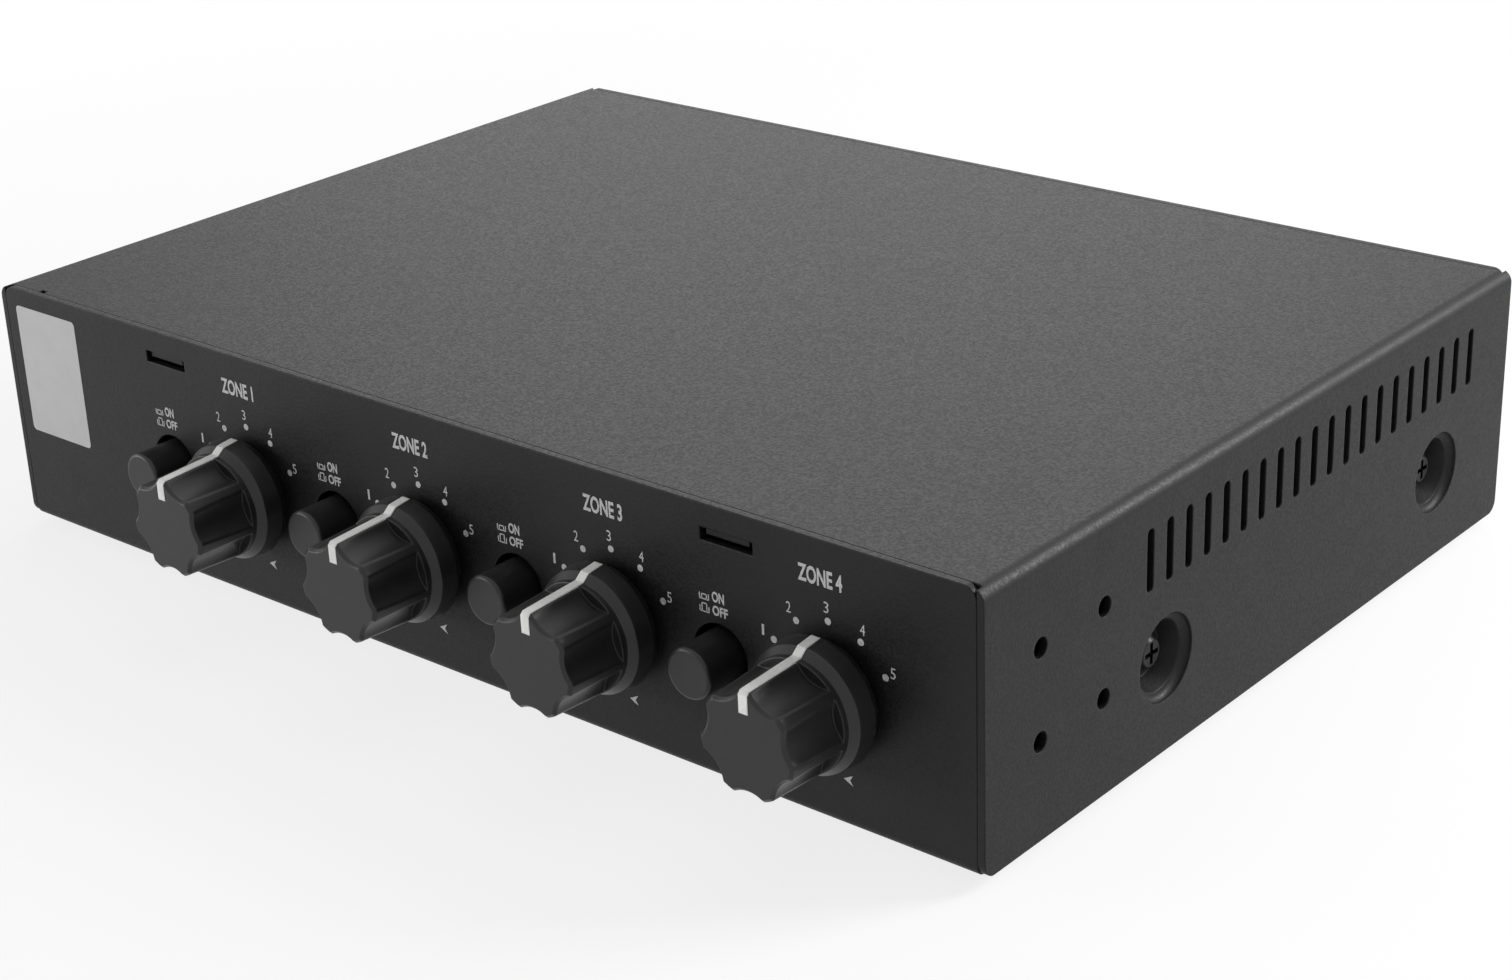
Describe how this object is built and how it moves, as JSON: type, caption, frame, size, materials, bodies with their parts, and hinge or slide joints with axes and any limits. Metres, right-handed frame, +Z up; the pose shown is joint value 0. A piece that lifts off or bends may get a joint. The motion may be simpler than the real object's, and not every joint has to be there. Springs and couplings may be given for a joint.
{
  "type": "speaker selector",
  "caption": "Low black steel half-rack box that shares an amplifier among stereo speaker zones, with a stepped volume knob and an on and off button for each zone.",
  "frame": {"origin": "centre of the whole object's footprint, knobs and terminals included, on the surface it stands on", "axes": "+X to the right seen from the front, +Y from the front panel to the back, +Z up"},
  "size_m": [0.212, 0.1718, 0.046],
  "materials": {
    "black_steel": "fine black powder coat on folded steel sheet",
    "black_screw": "black oxide steel screw",
    "zinc": "zinc plated steel",
    "nickel": "nickel plated brass",
    "rubber": "soft black rubber",
    "knob_plastic": "moulded black plastic, finely textured",
    "white_plastic": "white plastic",
    "shaft_metal": "turned aluminium",
    "switch_plastic": "moulded switch body",
    "board": "green solder mask on glass epoxy board",
    "black_plastic": "moulded header",
    "core_steel": "varnished stack of steel laminations",
    "bobbin_plastic": "natural nylon bobbin",
    "copper_wire": "enamelled copper winding",
    "terminal_plastic": "green terminal block"
  },
  "bodies": {
    "case": {"chassis": "black_steel", "top_cover": "black_steel", "cover_screws": "black_screw", "clinch_nuts": "zinc", "rubber_feet": "rubber", "bushing_nuts": "nickel", "bushing_washers": "nickel", "control_board": "board", "main_board": "board", "board_standoffs": "zinc", "board_screws": "zinc", "pin_headers": "black_plastic", "terminal_block_input": "terminal_plastic", "terminal_screws": "zinc", "wire_clamps": "nickel", "rotary_switch_1": "switch_plastic", "push_switch_1": "switch_plastic", "autoformer_core_1": "core_steel", "autoformer_bobbin_1": "bobbin_plastic", "autoformer_winding_1": "copper_wire", "terminal_block_1": "terminal_plastic", "rotary_switch_2": "switch_plastic", "push_switch_2": "switch_plastic", "autoformer_core_2": "core_steel", "autoformer_bobbin_2": "bobbin_plastic", "autoformer_winding_2": "copper_wire", "terminal_block_2": "terminal_plastic", "rotary_switch_3": "switch_plastic", "push_switch_3": "switch_plastic", "autoformer_core_3": "core_steel", "autoformer_bobbin_3": "bobbin_plastic", "autoformer_winding_3": "copper_wire", "terminal_block_3": "terminal_plastic", "rotary_switch_4": "switch_plastic", "push_switch_4": "switch_plastic", "autoformer_core_4": "core_steel", "autoformer_bobbin_4": "bobbin_plastic", "autoformer_winding_4": "copper_wire", "terminal_block_4": "terminal_plastic"},
    "volume_1": {"volume_knob_1": "knob_plastic", "pointer_line_1": "white_plastic", "switch_shaft_1": "shaft_metal"},
    "button_1": {"power_button_1": "knob_plastic", "button_plunger_1": "white_plastic"},
    "volume_2": {"volume_knob_2": "knob_plastic", "pointer_line_2": "white_plastic", "switch_shaft_2": "shaft_metal"},
    "button_2": {"power_button_2": "knob_plastic", "button_plunger_2": "white_plastic"},
    "volume_3": {"volume_knob_3": "knob_plastic", "pointer_line_3": "white_plastic", "switch_shaft_3": "shaft_metal"},
    "button_3": {"power_button_3": "knob_plastic", "button_plunger_3": "white_plastic"},
    "volume_4": {"volume_knob_4": "knob_plastic", "pointer_line_4": "white_plastic", "switch_shaft_4": "shaft_metal"},
    "button_4": {"power_button_4": "knob_plastic", "button_plunger_4": "white_plastic"}
  },
  "joints": [
    {"name": "volume_turn_1", "type": "hinge", "parent": "case", "child": "volume_1", "pos_m": [-0.0422, -0.06747, 0.0225], "axis": [0, 1, 0], "range_deg": [-60, 60]},
    {"name": "volume_turn_2", "type": "hinge", "parent": "case", "child": "volume_2", "pos_m": [-0.0016, -0.06747, 0.0225], "axis": [0, 1, 0], "range_deg": [-60, 60]},
    {"name": "volume_turn_3", "type": "hinge", "parent": "case", "child": "volume_3", "pos_m": [0.039, -0.06747, 0.0225], "axis": [0, 1, 0], "range_deg": [-60, 60]},
    {"name": "volume_turn_4", "type": "hinge", "parent": "case", "child": "volume_4", "pos_m": [0.0796, -0.06747, 0.0225], "axis": [0, 1, 0], "range_deg": [-60, 60]},
    {"name": "button_press_1", "type": "slide", "parent": "case", "child": "button_1", "axis": [0, 1, 0], "range_m": [0, 0.003], "stiffness_N_per_m": 500},
    {"name": "button_press_2", "type": "slide", "parent": "case", "child": "button_2", "axis": [0, 1, 0], "range_m": [0, 0.003], "stiffness_N_per_m": 500},
    {"name": "button_press_3", "type": "slide", "parent": "case", "child": "button_3", "axis": [0, 1, 0], "range_m": [0, 0.003], "stiffness_N_per_m": 500},
    {"name": "button_press_4", "type": "slide", "parent": "case", "child": "button_4", "axis": [0, 1, 0], "range_m": [0, 0.003], "stiffness_N_per_m": 500}
  ]
}
